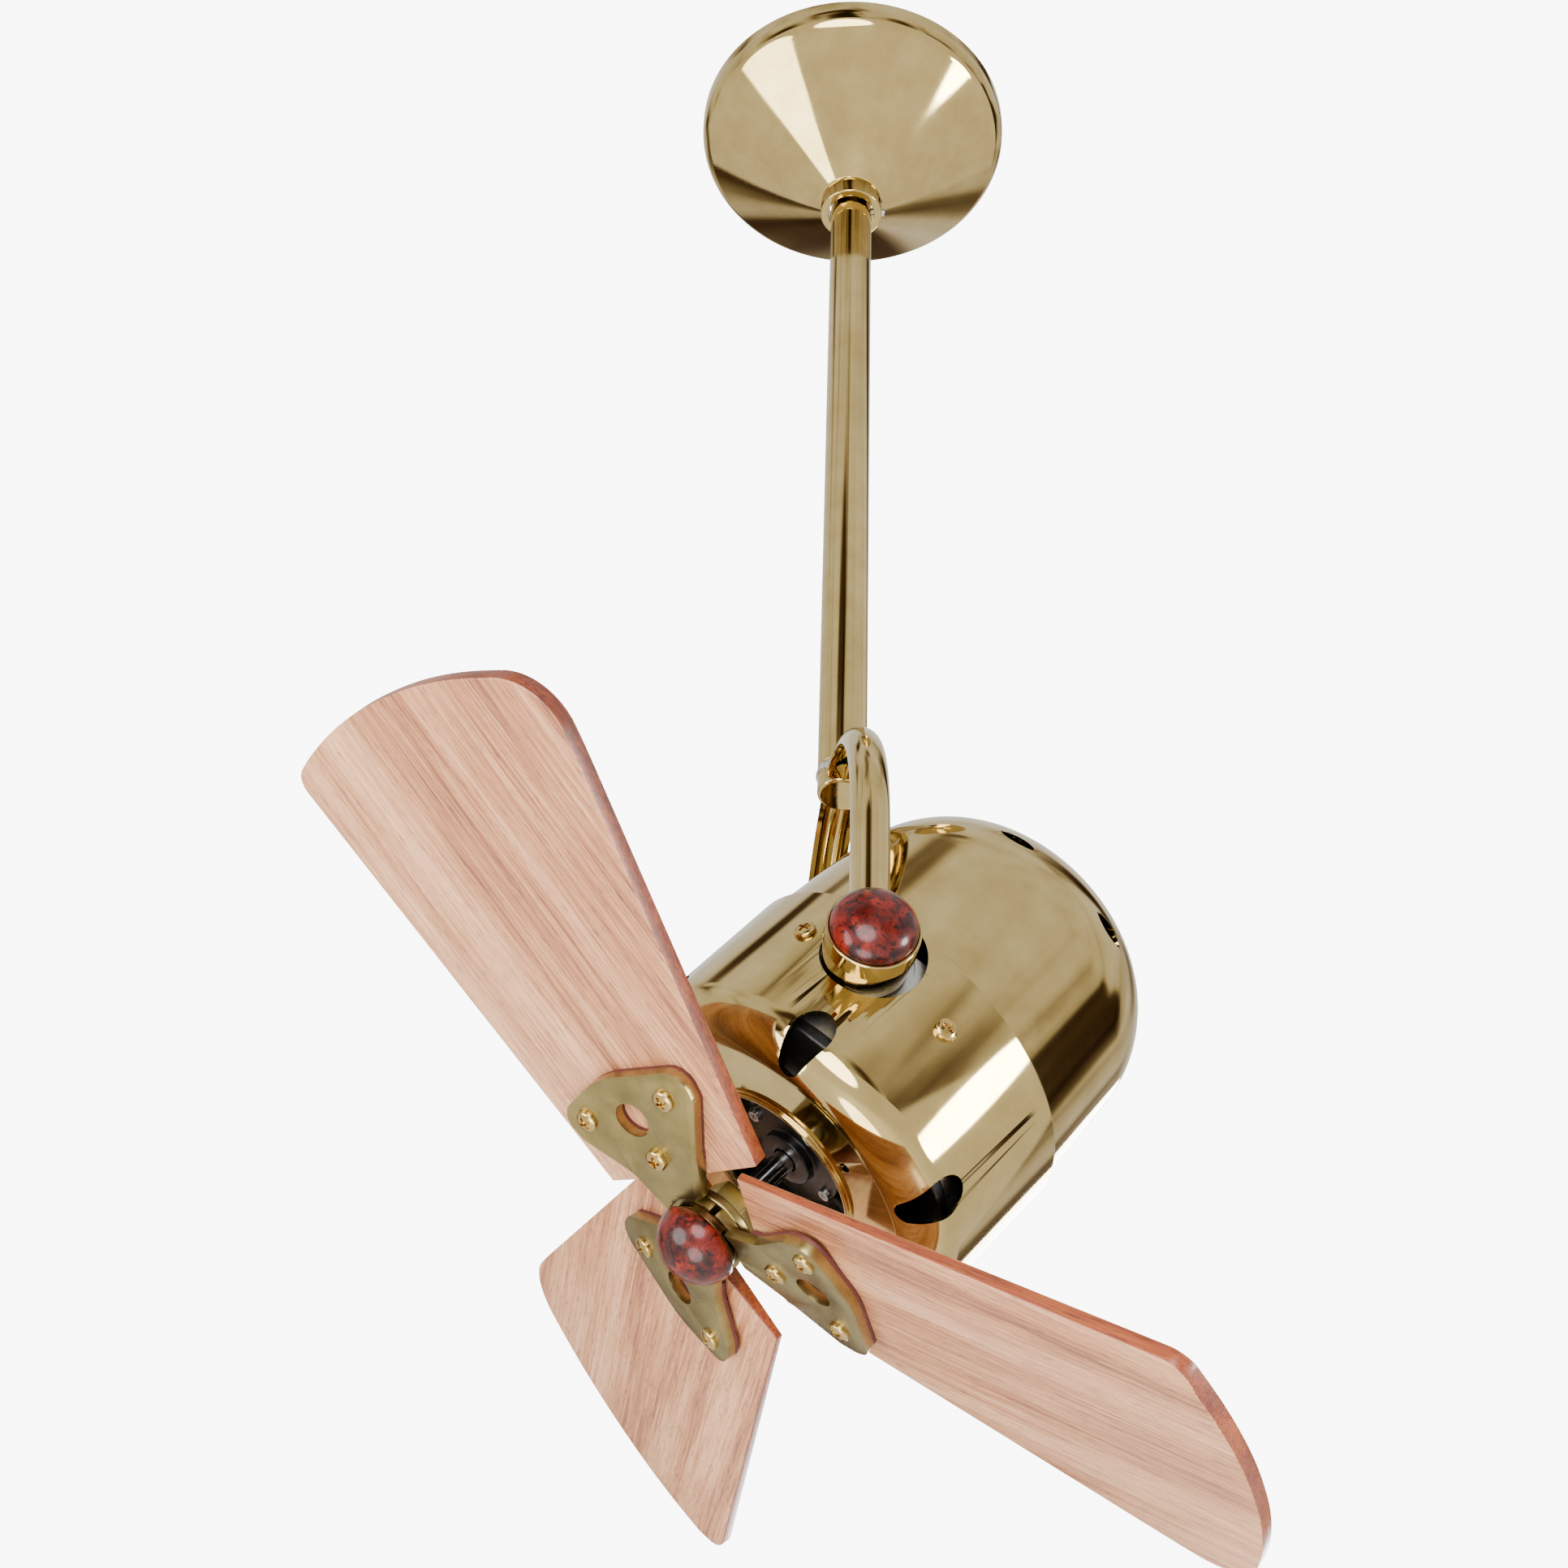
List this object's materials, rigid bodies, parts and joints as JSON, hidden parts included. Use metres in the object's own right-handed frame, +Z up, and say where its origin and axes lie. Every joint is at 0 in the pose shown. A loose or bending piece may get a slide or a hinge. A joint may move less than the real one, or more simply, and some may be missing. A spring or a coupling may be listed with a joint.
{
  "type": "directional ceiling fan",
  "caption": "Brass ceiling fan with a canopy, downrod and yoke holding a tilting motor head, and pitched wooden blades on flat brackets.",
  "frame": {"origin": "centre of the ceiling bracket's top face, on the ceiling plane", "axes": "+Z up into the ceiling, Y along the tilt axis of the head, -X the way the head faces at rest"},
  "size_m": [0.3715, 0.4275, 0.8349],
  "materials": {
    "polished_brass": "mirror polished, lacquered",
    "satin_brass": "satin, brushed",
    "brass_screw": "polished pan heads",
    "zinc_steel": "zinc plated",
    "bearing_steel": "ground",
    "lamination_steel": "stacked laminations, varnished",
    "copper_winding": "enamelled copper wire",
    "black_paint": "semi-gloss black enamel",
    "black_plastic": "matte black",
    "rubber": "matte",
    "fibre": "dark red vulcanised fibre",
    "dark_bronze": "darkened brass",
    "burl_wood": "dark red burl under high gloss lacquer",
    "mahogany": "pale mahogany, satin varnish"
  },
  "bodies": {
    "mount": {"ceiling_bracket": "zinc_steel", "hanger_bolt": "zinc_steel", "hanger_nut": "zinc_steel", "isolator_washers": "rubber", "canopy": "polished_brass", "canopy_collar": "polished_brass", "collar_screw": "zinc_steel", "downrod": "polished_brass", "lead_cable": "black_plastic", "yoke": "polished_brass", "pivot_cup_front": "polished_brass", "pivot_cup_rear": "polished_brass", "pivot_cap_front": "burl_wood", "pivot_cap_rear": "burl_wood", "pivot_bolts": "zinc_steel", "pivot_nuts": "zinc_steel", "friction_washers": "fibre"},
    "head": {"front_housing": "polished_brass", "rear_housing": "polished_brass", "housing_screws": "brass_screw", "pivot_cage": "zinc_steel", "stator_core": "lamination_steel", "stator_windings": "copper_winding", "front_end_bell": "black_paint", "rear_end_bell": "black_paint", "tie_bolts": "zinc_steel", "retainer_screws": "zinc_steel", "bearings": "bearing_steel", "run_capacitor": "black_plastic"},
    "rotor": {"motor_shaft": "bearing_steel", "rotor_core": "lamination_steel", "blade_hub": "satin_brass", "foot_screws": "zinc_steel", "finial_ring": "dark_bronze", "finial": "burl_wood", "blade_screws": "brass_screw", "blade_bracket_1": "satin_brass", "blade_backing_1": "fibre", "blade_1": "mahogany", "blade_bracket_2": "satin_brass", "blade_backing_2": "fibre", "blade_2": "mahogany", "blade_bracket_3": "satin_brass", "blade_backing_3": "fibre", "blade_3": "mahogany"}
  },
  "joints": [
    {"name": "head_tilt", "type": "hinge", "parent": "mount", "child": "head", "pos_m": [0, 0, -0.62], "axis": [0, -1, 0], "range_deg": [-50.7, 129.3]},
    {"name": "blade_spin", "type": "hinge", "parent": "head", "child": "rotor", "pos_m": [0.0106, 0, -0.62868], "axis": [-0.6334, 0, -0.7738], "continuous": true}
  ]
}
